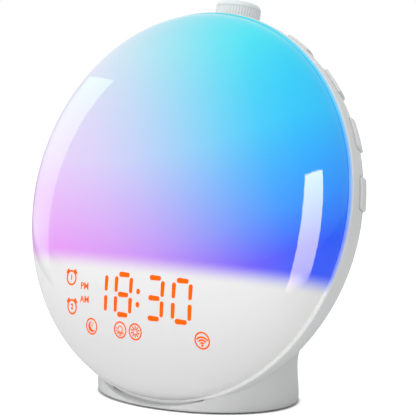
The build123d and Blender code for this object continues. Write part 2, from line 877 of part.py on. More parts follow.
# Where things stand on the display
digit_w = digit_drop - rim_radius
inner_digit = (digit_width + colon_gap) / 2
outer_digit = inner_digit + digit_width + digit_gap
digit_places = [digit_x + offset for offset in (-outer_digit, -inner_digit, inner_digit, outer_digit)]
word_x = digit_places[0] - digit_width / 2 - word_gap - word_length / 2
alarm_x = word_x - word_length / 2 - alarm_gap - alarm_radius
icon_w = digit_w - digit_height / 2 - icon_gap - icon_radius
word_spots = [(word_x, digit_w + word_rise + k * word_half) for k in (1, -1)]
alarm_spots = [(alarm_x, digit_w + alarm_rise + k * alarm_half) for k in (1, -1)]
icon_spots = [(digit_x + place, icon_w) for place in icon_places]
colon_spots = [(digit_x, digit_w + k * colon_half) for k in (1, -1)]
display_start = alarm_x - alarm_radius - display_left
display_end = digit_places[-1] + digit_width / 2 + display_right
display_top = digit_w + digit_height / 2 + display_above
display_bottom = icon_w - icon_radius - display_below
display_spots = [
    (alarm_x, digit_w + alarm_rise),
    (alarm_x, display_bottom + display_screw_inset),
    (display_end - display_screw_inset, display_top - display_screw_inset),
    ((icon_spots[-2][0] + icon_spots[-1][0]) / 2, icon_w),
]
divider_w = display_top + divider_gap + divider_wall / 2

with BuildPart() as divider:
    with BuildSketch(face.offset(frame_front)):
        with Locations((0, divider_w)):
            Rectangle(2 * frame_radius, divider_wall)
    extrude(amount=dome_top - frame_front)
    with BuildSketch(profile):
        with BuildLine():
            bulge(skirt_inner - dome_clearance, shoulder, dome_depth - shell - dome_clearance)
            Polyline(
                (skirt_inner - dome_clearance, shoulder),
                (skirt_inner - dome_clearance, frame_front),
                (0, frame_front),
                (0, dome_top - shell - dome_clearance),
            )
        make_face()
    revolve(axis=face_axis, mode=Mode.INTERSECT)

with BuildPart() as inner_frame:
    with BuildSketch(face.offset(-frame_back)):
        Circle(frame_radius)
        with Locations(*frame_spots):
            Circle(screw_hole, mode=Mode.SUBTRACT)
        with Locations((0, divider_w - board_inset)):
            SlotOverall(main_board_height, board_inset, mode=Mode.SUBTRACT)
    extrude(amount=frame_plate)
    with BuildSketch(face.offset(-frame_back)):
        with Locations(*light_screw_spots):
            Circle(post_radius)
    extrude(amount=-light_boss)
    with BuildSketch(face.offset(frame_front)):
        Circle(frame_radius)
        Circle(frame_radius - frame_rim, mode=Mode.SUBTRACT)
    extrude(amount=frame_rim_top - frame_front)
    with BuildSketch(face.offset(frame_front)):
        with Locations(*display_spots):
            Circle(display_post_radius)
    extrude(amount=display_back - frame_front)
    add(divider.part)
    with BuildSketch(face.offset(display_back)):
        with Locations(*display_spots):
            Circle(pilot_radius)
    extrude(amount=frame_front - display_back, mode=Mode.SUBTRACT)
    with BuildSketch(face.offset(frame_front)):
        with Locations(*light_screw_spots):
            Circle(pilot_radius)
    extrude(amount=-frame_plate - light_boss, mode=Mode.SUBTRACT)
write(inner_frame.part, "inner_frame")
screw_group("frame_screws", on_face(frame_spots, frame_front))

with BuildPart() as light_board:
    with BuildSketch(face.offset(frame_front)):
        Circle(light_board_radius)
        with Locations((0, divider_w + divider_wall / 2 + piece_gap)):
            Rectangle(
                2 * light_board_radius,
                2 * light_board_radius,
                align=(Align.CENTER, Align.MIN),
                mode=Mode.INTERSECT,
            )
        with Locations(*light_screw_spots):
            Circle(screw_hole, mode=Mode.SUBTRACT)
    extrude(amount=board_thickness)
write(light_board.part, "light_board")
screw_group("light_board_screws", on_face(light_screw_spots, light_front), light_screw_length)

led_floor = divider_w + divider_wall + led_size
led_spots = []
for ring in range(1, led_ring_count + 1):
    angles = [90 + 360 * i / (ring * led_first_ring) for i in range(ring * led_first_ring)]
    led_spots += [spot for spot in around(ring * led_pitch, angles) if spot[1] > led_floor]
with BuildPart() as leds:
    with BuildSketch(face.offset(light_front)):
        with Locations(*led_spots):
            Rectangle(led_size, led_size)
    extrude(amount=led_height)
write(leds.part, "leds")

# ---- Display ----
display_front = display_back + board_thickness


def display_outline():
    """The display's rectangle."""
    with Locations(((display_start + display_end) / 2, (display_bottom + display_top) / 2)):
        Rectangle(display_end - display_start, display_top - display_bottom)


def digit_bars(x):
    """The seven bars of the digit in the middle of x: place, length and turn."""
    side = (digit_width - stroke) / 2
    end = (digit_height - stroke) / 2
    level = [(x, digit_w + k * end, 2 * side - stroke_gap, 0) for k in (-1, 0, 1)]
    upright = [
        (x + i * side, digit_w + j * end / 2, end - stroke - stroke_gap, 90)
        for i in (-1, 1)
        for j in (-1, 1)
    ]
    return level + upright


def light_windows(margin):
    """Outlines of all that lights up on the display, grown by margin."""
    for place in digit_places:
        for x, w, length, turn in digit_bars(place):
            with Locations((x, w)):
                SlotOverall(length + 2 * margin, stroke + 2 * margin, rotation=turn)
    with Locations(*colon_spots):
        Circle(stroke / 2 + margin)
    with Locations(*icon_spots):
        Circle(icon_radius + margin)
    with Locations(*alarm_spots):
        Circle(alarm_radius + margin)
    with Locations(*word_spots):
        Rectangle(word_length + 2 * margin, word_height + 2 * margin)


with BuildPart() as display_board:
    with BuildSketch(face.offset(display_back)):
        display_outline()
        with Locations(*display_spots):
            Circle(screw_hole, mode=Mode.SUBTRACT)
    extrude(amount=board_thickness)
write(display_board.part, "display_board")

with BuildPart() as display_block:
    with BuildSketch(face.offset(display_front)):
        display_outline()
        with Locations(*display_spots):
            Circle(head_radius + slide_clearance, mode=Mode.SUBTRACT)
    extrude(amount=display_depth)
    with BuildSketch(face.offset(display_front)):
        light_windows(shaft_clearance)
    extrude(amount=display_depth, mode=Mode.SUBTRACT)
write(display_block.part, "display_block")

with BuildPart() as display_windows:
    with BuildSketch(face.offset(display_front)):
        light_windows(0)
    extrude(amount=display_depth - recess)
write(display_windows.part, "display_windows")
screw_group("display_screws", on_face(display_spots, display_front), display_screw_length)

# ---- Main board, radio module and sockets ----
board_front = -main_board_front
with BuildPart() as main_board:
    with BuildSketch(face.offset(board_front)):
        with Locations((0, main_board_w)):
            RectangleRounded(main_board_width, main_board_height, board_corner)
        with Locations(*board_spots):
            Circle(screw_hole, mode=Mode.SUBTRACT)
    extrude(amount=-board_thickness)
write(main_board.part, "main_board")
screw_group("main_board_screws", on_face(board_spots, board_front))

with BuildPart() as board_parts:
    for x, w, width, height, rise in board_chips:
        with BuildSketch(face.offset(board_front)):
            with Locations((x, main_board_w + w)):
                Rectangle(width, height)
        extrude(amount=rise)
    for x, w, radius, rise in board_cans:
        with BuildSketch(face.offset(board_front)):
            with Locations((x, main_board_w + w)):
                Circle(radius)
        extrude(amount=rise)
write(board_parts.part, "board_parts")

with BuildPart() as radio_module:
    with BuildSketch(face.offset(board_front)):
        with Locations((radio_x, main_board_w + radio_w)):
            Rectangle(radio_width, radio_height)
    extrude(amount=radio_board)
    with BuildSketch(face.offset(board_front + radio_board)):
        with Locations((radio_x, main_board_w + radio_w - radio_aerial / 2)):
            RectangleRounded(
                radio_width - 2 * radio_margin, radio_height - radio_aerial - 2 * radio_margin, radio_margin
            )
    extrude(amount=radio_can)
write(radio_module.part, "radio_module")

socket_base = face.offset(-main_board_back)
nose_length = wall - socket_recess
with BuildPart() as power_jack:
    with BuildSketch(socket_base):
        with Locations((jack_x, socket_w)):
            Rectangle(jack_width, jack_height)
    extrude(amount=-socket_length)
    with BuildSketch(face.offset(-back_inside)):
        with Locations((jack_x, socket_w)):
            Circle(jack_nose)
    extrude(amount=-nose_length)
    with BuildSketch(face.offset(-back_inside - nose_length)):
        with Locations((jack_x, socket_w)):
            Circle(jack_bore)
            Circle(jack_pin, mode=Mode.SUBTRACT)
    extrude(amount=socket_hole, mode=Mode.SUBTRACT)
write(power_jack.part, "power_jack")

with BuildPart() as usb_socket:
    with BuildSketch(socket_base):
        with Locations((usb_x, socket_w)):
            Rectangle(usb_width, usb_height)
    extrude(amount=-socket_length - nose_length)
    with BuildSketch(face.offset(-back_inside - nose_length)):
        with Locations((usb_x, socket_w)):
            Rectangle(usb_width - 2 * usb_skin, usb_height - 2 * usb_skin)
        with Locations((usb_x, socket_w + usb_height / 2 - usb_skin - usb_tongue)):
            Rectangle(
                usb_width - 2 * (usb_skin + usb_tongue_side), usb_tongue, mode=Mode.SUBTRACT
            )
    extrude(amount=socket_hole, mode=Mode.SUBTRACT)
write(usb_socket.part, "usb_socket")

# ---- Speaker: basket, paper cone and magnet, facing the grille ----
speaker_front = face.offset(-speaker_seat)
speaker = Plane(
    origin=middle + up * speaker_w - forward * speaker_seat, x_dir=across, z_dir=-up
)  # sketched as (radius, n)
speaker_axis = Axis(speaker.origin, forward)
basket_back = speaker_radius - speaker_ring_wall

with BuildPart() as speaker_basket:
    with BuildSketch(speaker):
        with BuildLine():
            Polyline(
                (speaker_radius, 0),
                (speaker_radius, speaker_flange),
                (basket_back, speaker_flange),
                (magnet_radius, speaker_depth),
                (magnet_radius - speaker_skin, speaker_depth),
                (magnet_radius - speaker_skin, speaker_depth - speaker_skin),
                (basket_back - speaker_skin, 0),
                close=True,
            )
        make_face()
    revolve(axis=speaker_axis)
    with BuildSketch(speaker_front):
        with Locations(*speaker_ears):
            Circle(speaker_ear_radius)
        with Locations((0, speaker_w)):
            Circle(basket_back, mode=Mode.SUBTRACT)
        with Locations(*speaker_ears):
            Circle(screw_hole, mode=Mode.SUBTRACT)
    extrude(amount=speaker_flange)
write(speaker_basket.part, "speaker_basket")
screw_group("speaker_screws", on_face(speaker_ears, speaker_flange - speaker_seat), speaker_screw_length)

cone_edge = basket_back - speaker_skin - cone_play
with BuildPart() as speaker_cone:
    with BuildSketch(speaker):
        with BuildLine():
            Polyline(
                (cone_edge, 0),
                (cone_edge, cone_skin),
                (cap_radius, cone_depth + cone_skin),
                (0, cone_depth + cone_skin),
                (0, cone_depth - cap_rise),
            )
            TangentArc((0, cone_depth - cap_rise), (cap_radius, cone_depth), tangent=(1, 0))
            Polyline((cap_radius, cone_depth), (cone_edge, 0))
        make_face()
    revolve(axis=speaker_axis)
write(speaker_cone.part, "speaker_cone")

with BuildPart() as speaker_magnet:
    with BuildSketch(speaker):
        with Locations((0, speaker_depth)):
            Rectangle(magnet_radius, magnet_depth, align=(Align.MIN, Align.MIN))
        with Locations((0, cone_depth + cone_skin)):
            Rectangle(
                magnet_radius - speaker_skin - piece_gap,
                speaker_depth - cone_depth - cone_skin,
                align=(Align.MIN, Align.MIN),
            )
    revolve(axis=speaker_axis)
write(speaker_magnet.part, "speaker_magnet")
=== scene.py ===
"""Sunrise alarm clock: the looks of each piece, in the order that the clock is put together."""
from math import cos, radians, sin

import bmesh
import bpy
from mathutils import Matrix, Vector


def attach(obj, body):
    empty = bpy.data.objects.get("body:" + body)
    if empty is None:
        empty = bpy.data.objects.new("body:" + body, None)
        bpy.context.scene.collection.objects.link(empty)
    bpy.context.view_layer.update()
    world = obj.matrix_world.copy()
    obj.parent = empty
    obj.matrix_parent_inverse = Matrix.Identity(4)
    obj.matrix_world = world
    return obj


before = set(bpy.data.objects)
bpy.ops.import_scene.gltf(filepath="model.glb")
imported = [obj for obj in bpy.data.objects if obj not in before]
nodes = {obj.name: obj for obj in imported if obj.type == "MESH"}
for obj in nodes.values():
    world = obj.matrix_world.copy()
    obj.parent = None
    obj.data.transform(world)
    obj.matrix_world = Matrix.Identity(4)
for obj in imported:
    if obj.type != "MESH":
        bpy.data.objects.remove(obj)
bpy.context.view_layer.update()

# ---- Rear housing ----
# One moulding of white ABS: bowl, knob turret, neck and foot. Its skin is spark-eroded, so it
# has a fine even grain, and a satin sheen that differs a little from place to place.


class Shade:
    """One socket of a material's nodes. Sums on shades add Math nodes."""

    def __init__(self, tree, socket=None):
        self.tree = tree
        self.socket = socket

    def node(self, kind, settings=None, inputs=None, output=0):
        """Adds a node: its settings first, then the values or links of its sockets."""
        made = self.tree.nodes.new(kind)
        for name, value in (settings or {}).items():
            if name == "stops":
                while len(made.color_ramp.elements) < len(value):
                    made.color_ramp.elements.new(1.0)
                for stop, (place, level) in zip(made.color_ramp.elements, value):
                    stop.position = place
                    stop.color = grey(level)
            else:
                setattr(made, name, value)
        for name, value in (inputs or {}).items():
            if isinstance(value, Shade):
                self.tree.links.new(value.socket, made.inputs[name])
            else:
                made.inputs[name].default_value = value
        return Shade(self.tree, made.outputs[output])

    def math(self, operation, *values):
        return self.node("ShaderNodeMath", {"operation": operation}, dict(enumerate(values)))

    def __add__(self, other):
        return self.math("ADD", self, other)

    def __radd__(self, other):
        return self.math("ADD", other, self)

    def __sub__(self, other):
        return self.math("SUBTRACT", self, other)

    def __rsub__(self, other):
        return self.math("SUBTRACT", other, self)

    def __mul__(self, other):
        return self.math("MULTIPLY", self, other)

    def __rmul__(self, other):
        return self.math("MULTIPLY", other, self)

    def place(self):
        """Object coordinates, in metres."""
        return self.node("ShaderNodeTexCoord", output="Object")

    def axes(self, place):
        """The x, y and z of a place."""
        made = self.node("ShaderNodeSeparateXYZ", inputs={0: place}).socket.node
        return [Shade(self.tree, socket) for socket in made.outputs]

    def noise(self, size, detail=2.0, rough=0.5):
        """A noise whose blots are about as large as size, in metres."""
        inputs = {"Vector": self.place(), "Scale": 1 / size, "Detail": detail, "Roughness": rough}
        return self.node("ShaderNodeTexNoise", inputs=inputs)

    def step(self, value, start, end):
        """0 before start and 1 after end, with a soft change between."""
        settings = {"interpolation_type": "SMOOTHSTEP"}
        inputs = {"Value": value, "From Min": start, "From Max": end}
        return self.node("ShaderNodeMapRange", settings, inputs)

    def ramp(self, value, stops):
        """A level that goes through stops, each a value from 0 to 1 and the level there."""
        return self.node("ShaderNodeValToRGB", {"stops": stops}, {0: value})

    def above(self, value, start):
        """How far value is above start, or else 0."""
        return self.math("MAXIMUM", value - start, 0.0)

    def mix(self, share, first, second):
        """Colour first where share is 0, and second where it is 1."""
        inputs = {"Factor": share, 6: first, 7: second}
        return self.node("ShaderNodeMix", {"data_type": "RGBA"}, inputs, output=2)

    def bump(self, height, depth):
        """Relief of that depth, in metres, where height goes from 0 to 1."""
        return self.node("ShaderNodeBump", inputs={"Height": height, "Distance": depth})


def grey(level):
    return (level, level, level, 1.0)


def tint(colour, factor=1.0, lift=0.0):
    """A colour with its alpha, paler or darker by a factor and then a lift."""
    return tuple(min(1.0, factor * c + lift) for c in colour) + (1.0,)


def new_finish(name):
    """A material with only its main shader. Returns it, its nodes, and a function that sets
    the shader's sockets."""
    material = bpy.data.materials.new(name)
    material.use_nodes = True
    shade = Shade(material.node_tree)
    main = material.node_tree.nodes["Principled BSDF"]

    def wire(**sockets):
        for socket_name, value in sockets.items():
            socket = main.inputs[socket_name.replace("_", " ")]
            if isinstance(value, Shade):
                material.node_tree.links.new(value.socket, socket)
            else:
                socket.default_value = value

    return material, shade, wire


def moulded_plastic(name, colour, roughness=0.42, grain=0.0004, depth=0.000012):
    """A moulding with a spark-eroded skin: grain is the size of its bumps, in metres."""
    material, shade, wire = new_finish(name)
    cloud = shade.noise(0.02, detail=3.0)
    coarse = 2.6 * grain
    skin = shade.noise(grain, detail=1.0) + 0.5 * shade.noise(coarse, detail=1.0)
    spread = 0.1  # of the roughness, from place to place
    wire(
        Base_Color=shade.mix(cloud, tint(colour, 0.965), tint(colour, 1.03)),
        Roughness=shade.noise(0.004) * spread + (roughness - spread / 2),
        Normal=shade.bump(skin, depth),
    )
    return material


def dress(material, *names):
    """Gives CAD nodes their material."""
    for name in names:
        nodes[name].data.materials.clear()
        nodes[name].data.materials.append(material)


dress(moulded_plastic("shell_white", (0.77, 0.775, 0.78)), "rear_housing")

# ---- Bottom cover, battery door and pads ----
# The cover, on three screws, and its round coin-slotted door are moulded in the housing's
# plastic, a little coarser. Four grey rubber pads, cut from sheet, are stuck in seats in it.
cover_white = moulded_plastic(
    "cover_white", (0.74, 0.745, 0.75), roughness=0.5, grain=0.0006, depth=0.00002
)
dress(cover_white, "bottom_cover", "battery_door")


def rubber(name, colour):
    """Dull rubber with a fine tooth, and dust in patches."""
    material, shade, wire = new_finish(name)
    dust = shade.step(shade.noise(0.003, detail=4.0), 0.45, 0.75)
    wire(
        Base_Color=shade.mix(dust * 0.5, tint(colour), tint(colour, 2.0)),
        Roughness=0.72 + 0.15 * dust,
        Normal=shade.bump(shade.noise(0.0003), depth=0.00004),
    )
    return material


dress(rubber("grey_rubber", (0.10, 0.10, 0.105)), "rubber_feet")


def metal(name, colour, roughness=0.28):
    """Plated or turned metal with a fine uneven polish."""
    material, shade, wire = new_finish(name)
    polish = shade.noise(1.0 / 900.0, detail=3.0)
    wire(
        Base_Color=shade.mix(polish, tint(colour, 0.8), tint(colour)),
        Metallic=1.0,
        Roughness=polish * 0.2 + (roughness - 0.08),
        Normal=shade.bump(polish, depth=0.000008),
    )
    return material


steel = metal("plated_steel", (0.62, 0.62, 0.63))
dress(steel, "coin_cell", "battery_contact", "cover_screws")
dress(moulded_plastic("holder_black", (0.03, 0.03, 0.032), roughness=0.5), "battery_holder")

# ---- Speaker ----
# A black painted steel basket with a treated paper cone and a plated magnet. Four screws hold
# it on a ring that stands on the back wall, where the slots let its sound out.
paint_black = moulded_plastic(
    "paint_black", (0.035, 0.035, 0.036), roughness=0.38, grain=0.0012, depth=0.00002
)
dress(paint_black, "speaker_basket")


def cone_paper(name):
    """Pressed paper: matted fibres under a dull black treatment."""
    material, shade, wire = new_finish(name)
    fibre = shade.noise(0.0006, detail=6.0, rough=0.7)
    wire(
        Base_Color=shade.mix(fibre, grey(0.018), grey(0.05)),
        Roughness=0.85,
        Normal=shade.bump(fibre, depth=0.00008),
    )
    return material


dress(cone_paper("cone_paper"), "speaker_cone")
dress(metal("magnet_plating", (0.45, 0.45, 0.47), roughness=0.4), "speaker_magnet")
dress(steel, "speaker_screws")

# ---- Main board, radio module and sockets ----
# A green board with its chips, a radio module under a steel can, a round inlet for the mains
# adaptor and a socket for charging, both showing in the flat of the back.


def solder_mask(name, colour):
    """Lacquered board: copper tracks show as slightly paler, raised lines."""
    material, shade, wire = new_finish(name)
    settings = {"wave_type": "BANDS", "bands_direction": "DIAGONAL"}
    inputs = {"Vector": shade.place(), "Scale": 90.0, "Distortion": 3.0, "Detail": 1.0}
    wave = shade.node("ShaderNodeTexWave", settings, inputs, output="Fac")
    tracks = shade.step(wave, 0.72, 0.8)
    wire(
        Base_Color=shade.mix(tracks, tint(colour), tint(colour, 1.5, 0.02)),
        Roughness=0.3 + 0.1 * shade.noise(0.002),
        Normal=shade.bump(tracks, depth=0.00003),
    )
    return material


green_board = solder_mask("green_board", (0.012, 0.11, 0.035))
dress(green_board, "main_board", "right_switch_board", "left_switch_board", "encoder_board")
dress(solder_mask("radio_board", (0.01, 0.06, 0.03)), "radio_module")
part_black = moulded_plastic("part_black", (0.022, 0.022, 0.024), roughness=0.36, grain=0.0005)
dress(part_black, "board_parts", "right_switches", "left_switches", "power_jack", "encoder_body")
dress(steel, "usb_socket", "main_board_screws", "switch_board_screws")

# ---- Side buttons ----
# Four white keys on each side, moulded like the housing, with a shallower skin. Each stands in
# its own slot in the wall and slides inwards onto its switch.
key_skin = {"roughness": 0.4, "grain": 0.0005, "depth": 0.00001}
key_white = moulded_plastic("key_white", (0.76, 0.765, 0.77), **key_skin)
for side in ("right", "left"):
    dress(key_white, *[f"{side}_button_{number}" for number in (1, 2, 3, 4)])

# ---- Knob and encoder ----
# A white moulded cap with fine ribs round its side and the buttons' skin, pushed on the flatted
# steel shaft of an encoder, which a nut holds in the turret.
dress(moulded_plastic("knob_white", (0.785, 0.835, 0.835), **key_skin), "knob")
shaft_steel = metal("shaft_steel", (0.6, 0.6, 0.6), roughness=0.25)
dress(shaft_steel, "encoder_shaft", "encoder_plunger", "encoder_nut")

# ---- Inner frame and light board ----
# A matt white tray, on six screws, throws the light forwards, and its divider keeps it off the
# display. The white lacquered board above the divider carries the lights.
dress(moulded_plastic("tray_white", (0.85, 0.85, 0.85), roughness=0.7), "inner_frame")
dress(solder_mask("white_board", (0.82, 0.83, 0.82)), "light_board", "display_board")
dress(steel, "frame_screws", "light_board_screws", "display_screws")


def lit_package(name):
    """A light's yellow phosphor window in its pale package."""
    material, shade, wire = new_finish(name)
    cloud = shade.noise(0.001)
    phosphor, package = (0.75, 0.62, 0.18, 1.0), (0.85, 0.78, 0.45, 1.0)
    wire(
        Base_Color=shade.mix(cloud, phosphor, package),
        Roughness=0.35 + 0.1 * cloud,
        Normal=shade.bump(cloud, depth=0.00005),
    )
    return material


dress(lit_package("lit_package"), "leds")

# ---- Display block ----
# A white block stands on the display's board, with a light pipe of cast amber resin in it for
# each bar and sign.
dress(moulded_plastic("block_white", (0.82, 0.82, 0.82), roughness=0.6), "display_block")


def amber_resin(name):
    """Clear amber resin, lit from behind."""
    material, shade, wire = new_finish(name)
    cloud = shade.noise(0.002)
    glow = shade.mix(cloud, (1.0, 0.115, 0.0, 1.0), (1.0, 0.145, 0.0, 1.0))
    wire(
        Base_Color=shade.mix(0.85, glow, grey(0.0)),
        Roughness=0.45 + 0.05 * cloud,
        Specular_IOR_Level=0.08,
        Emission_Color=glow,
        Emission_Strength=0.97,
    )
    return material


amber = amber_resin("amber_resin")
dress(amber, "display_windows")

# ---- Front diffuser ----
# A glossy opal dome with a flat band round it. Above the divider coloured light fills it: red
# from the left, green from the top, blue everywhere. Below, it is plain translucent white.
lean = radians(14.0)
middle = Vector((0.0, -0.007, 0.088827))  # middle of the rim
face_turn = (radians(90.0) - lean, 0.0, 0.0)  # the face's own x is across, y up it, z forwards
lit_edge = -0.0306  # the divider's height on the face
lit_blur = 0.0048
row_rise = 0.01  # the divider and the signs rise this much to the right
band_rise = 0.0012  # the flat band stands this far above the rim
band_blur = 0.0001


def lit_opal(name):
    """The dome's opal plastic. On the face, x is across, w up and n forwards."""
    material, shade, wire = new_finish(name)
    settings = {"vector_type": "TEXTURE"}
    inputs = {"Vector": shade.place(), "Location": middle, "Rotation": face_turn}
    x, w, n = shade.axes(shade.node("ShaderNodeMapping", settings, inputs))
    band = shade.step(n, band_rise + band_blur, band_rise - band_blur)
    lit = shade.step(w - x * row_rise, lit_edge - lit_blur, lit_edge + lit_blur)

    # Red fades to the right, and sooner near the top
    slant, rate, start = 0.45, 6.0, 0.5
    red = shade.ramp((x + w * slant) * rate + start, (
        (0.0, 0.84), (0.2, 0.76), (0.34, 0.68), (0.48, 0.545), (0.6, 0.385), (0.7, 0.25),
        (0.8, 0.125), (0.9, 0.04), (1.0, 0.008),
    ))
    # Green fades downwards, and sooner near the right
    bend_x, bend, rate, start = -0.037, 2.65, 7.0, 0.35
    bent = w - (x - bend_x) * (x - bend_x) * bend
    green = shade.ramp(bent * rate + start, (
        (0.0, 0.10), (0.15, 0.31), (0.3, 0.466), (0.45, 0.62), (0.6, 0.665), (0.8, 0.74),
        (1.0, 0.71),
    ))
    # There is less of it in the upper right corner, and more at the lower left edge
    corner_loss, left_gain = 45.0, 9.0
    corner = shade.above(x, 0.03) * shade.above(w, 0.0)
    left_edge = shade.above(0.0 - x, 0.057) * shade.step(w, 0.0, -0.02)
    green = green - corner * corner_loss + left_edge * left_gain
    # Blue is everywhere, a little less at the top and more at the right
    blue_middle, blue_slope, blue_curve, top_loss = 0.93, 0.35, 9.0, 1.35
    blue = blue_middle + x * blue_slope + x * x * blue_curve - shade.above(w, 0.01) * top_loss
    glow = shade.node("ShaderNodeCombineColor", inputs={0: red, 1: green, 2: blue})
    # The band is paler on the right, a painted highlight. Half of the glow comes from inside as
    # light, and half is painted light put into the plastic's own colour
    glow = shade.mix(band * shade.step(x, 0.0, 0.07) * 0.5, glow, (0.75, 0.9, 1.0, 1.0))
    # painted light: the lit part of the face takes half the glow as its colour
    half = shade.mix(0.5, grey(0.0), glow)

    # Below the divider a little light leaks down as a faint glow, and the band gets a stronger
    # painted glow that lifts its shade
    plain = shade.mix(shade.noise(0.05, detail=1.0), grey(0.80), grey(0.81))
    leak_end = -0.085
    leak_and_painted_glow = shade.mix(shade.step(w, leak_end, lit_edge), grey(0.0), grey(0.09))
    # painted glow on the band, lifting the shade under the dome's edge
    leak_and_painted_glow = shade.mix(band, leak_and_painted_glow, grey(0.23))
    wire(
        Base_Color=shade.mix(lit, plain, half),
        Roughness=0.4 + 0.1 * shade.noise(0.01),
        Specular_IOR_Level=0.0,
        Coat_Weight=1.0,
        Coat_Roughness=0.05,
        Emission_Color=shade.mix(lit, leak_and_painted_glow, half),
        Emission_Strength=1.04,
        Normal=shade.bump(shade.noise(0.03, detail=1.0), depth=0.00002),
    )
    return material


dress(lit_opal("lit_opal"), "front_diffuser")

# ---- Lit time and signs ----
# The light pipes shine through the wall of the dome, so each bar and sign shows sharply on its
# outside: the time 18:30, AM and PM, two alarms, and round icons.
mm = 0.001  # the signs are drawn in millimetres, from the middle of the face
sign_front = 0.05  # all are drawn flat this far in front of the rim, then laid on the dome
film_rise, film_thickness = 0.00009, 0.00006
capital = 0.7  # height of a capital letter, as a share of the font's size
tiny = 1e-6  # more than the error in a point's place
sign_parts = []


def keep_sign():
    """Keeps the flat shape just drawn."""
    sign_parts.append(bpy.context.object)
    return sign_parts[-1]


def copy_sign(made):
    """A copy with a mesh of its own."""
    twin = made.copy()
    twin.data = made.data.copy()
    bpy.context.collection.objects.link(twin)
    sign_parts.append(twin)
    return twin


def put_sign(made, x, w, turn=0.0):
    made.location = (x * mm, (w + x * row_rise) * mm, sign_front)
    made.rotation_euler.z = radians(turn)


def choose(*chosen):
    """Selects these objects alone. The first becomes the active one."""
    bpy.ops.object.select_all(action="DESELECT")
    for made in chosen:
        made.select_set(True)
    bpy.context.view_layer.objects.active = chosen[0]


def edit_mesh(made):
    """Edit mode on one object, with nothing selected. Returns its mesh for picking."""
    choose(made)
    bpy.ops.object.mode_set(mode="EDIT")
    bpy.ops.mesh.select_all(action="DESELECT")
    return bmesh.from_edit_mesh(made.data)


def pick(shape, kind, test):
    """Selects the points ("VERT") or faces ("FACE") whose middle passes the test."""
    bpy.ops.mesh.select_mode(type=kind)
    bpy.ops.mesh.select_all(action="DESELECT")
    for item in shape.verts if kind == "VERT" else shape.faces:
        item.select_set(test(item.co if kind == "VERT" else item.calc_center_median()))
    shape.select_flush_mode()


def draw_disc(radius, points, fill="NGON"):
    """A flat disc, or only its outline where fill is "NOTHING"."""
    bpy.ops.mesh.primitive_circle_add(vertices=points, radius=radius * mm, fill_type=fill)
    return keep_sign()


def hollow(line):
    """Leaves only a line of that width along the edge of the shape in edit mode."""
    bpy.ops.mesh.select_all(action="SELECT")
    bpy.ops.mesh.inset(thickness=line * mm)
    bpy.ops.mesh.delete(type="FACE")


def draw_bar(length, width):
    """An upright bar with rounded ends."""
    made = draw_disc(width / 2, 12)
    shape = edit_mesh(made)
    for end in (1, -1):
        pick(shape, "VERT", lambda place: place.y * end > -tiny)
        bpy.ops.transform.translate(value=(0.0, end * (length - width) * mm / 2, 0.0))
    bpy.ops.object.mode_set(mode="OBJECT")
    return made


def draw_ring(radius, line, keep=lambda place: True):
    """A flat ring of that outer radius, of which only the faces that pass keep stay."""
    made = draw_disc(radius, 44)
    edit_mesh(made)
    hollow(line)
    pick(bmesh.from_edit_mesh(made.data), "FACE", lambda place: not keep(place))
    bpy.ops.mesh.delete(type="FACE")
    bpy.ops.object.mode_set(mode="OBJECT")
    return made


def draw_text(body, height, bolder):
    """A word of that capital height, each stroke thickened by twice bolder."""
    bpy.ops.object.text_add()
    made = bpy.context.object
    made.data.body = body
    made.data.align_x = "CENTER"
    made.data.align_y = "CENTER"
    made.data.size = height * mm / capital
    made.data.offset = bolder * mm
    made.data.resolution_u = 4
    choose(made)
    bpy.ops.object.convert(target="MESH")
    return keep_sign()


def lay_on_dome(name):
    """Joins the shapes drawn so far, lays them on the dome and gives them a film's thickness."""
    joined = sign_parts[0]
    choose(*sign_parts)
    bpy.ops.object.transform_apply(location=True, rotation=True, scale=True)
    bpy.ops.object.join()
    joined.name = name
    joined.data.name = name
    edit_mesh(joined)
    bpy.ops.mesh.select_all(action="SELECT")
    bpy.ops.mesh.quads_convert_to_tris()
    bpy.ops.mesh.subdivide(number_cuts=2)
    bpy.ops.object.mode_set(mode="OBJECT")
    joined.rotation_euler = face_turn
    joined.location = middle
    lay = joined.modifiers.new("lay", "SHRINKWRAP")
    lay.target = nodes["front_diffuser"]
    lay.wrap_method = "PROJECT"
    lay.use_project_z = True
    lay.use_positive_direction = False
    lay.use_negative_direction = True
    lay.offset = film_rise
    film = joined.modifiers.new("film", "SOLIDIFY")
    film.thickness = film_thickness
    film.offset = -1.0
    bpy.ops.object.modifier_apply(modifier="lay")
    bpy.ops.object.modifier_apply(modifier="film")
    bpy.ops.object.transform_apply(location=True, rotation=True, scale=True)
    joined.data.materials.clear()
    joined.data.materials.append(amber)
    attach(joined, "housing")
    sign_parts.clear()


# The digits, from two bars: uprights at both sides, and levels at the top, middle and bottom
digit_w = -44.8
upright = draw_bar(length=6.9, width=2.05)
level = draw_bar(length=6.2, width=2.3)
bar_x, high_w, low_w, end_w = 4.35, 4.35, -4.45, 8.85
uprights = {
    "top_left": (-bar_x, high_w), "top_right": (bar_x, high_w),
    "low_left": (-bar_x, low_w), "low_right": (bar_x, low_w),
}
levels = {"top": (0.0, end_w), "middle": (0.0, 0.0), "bottom": (0.0, -end_w)}
digits = {
    "1": ("top_right", "low_right"),
    "8": (*uprights, *levels),
    "3": ("top_right", "low_right", "top", "middle", "bottom"),
    "0": ("top_left", "top_right", "low_left", "low_right", "top", "bottom"),
}
for digit, digit_x in (("1", -22.2), ("8", -7.4), ("3", 10.4), ("0", 25.1)):
    for bar in digits[digit]:
        lies = bar in levels
        across, rise = levels[bar] if lies else uprights[bar]
        made = copy_sign(level if lies else upright)
        put_sign(made, digit_x + across, digit_w + rise, 90.0 if lies else 0.0)
for made in (upright, level):
    sign_parts.remove(made)
    bpy.data.objects.remove(made)
dot = draw_bar(length=2.5, width=2.1)
put_sign(dot, 1.3, -42.7)
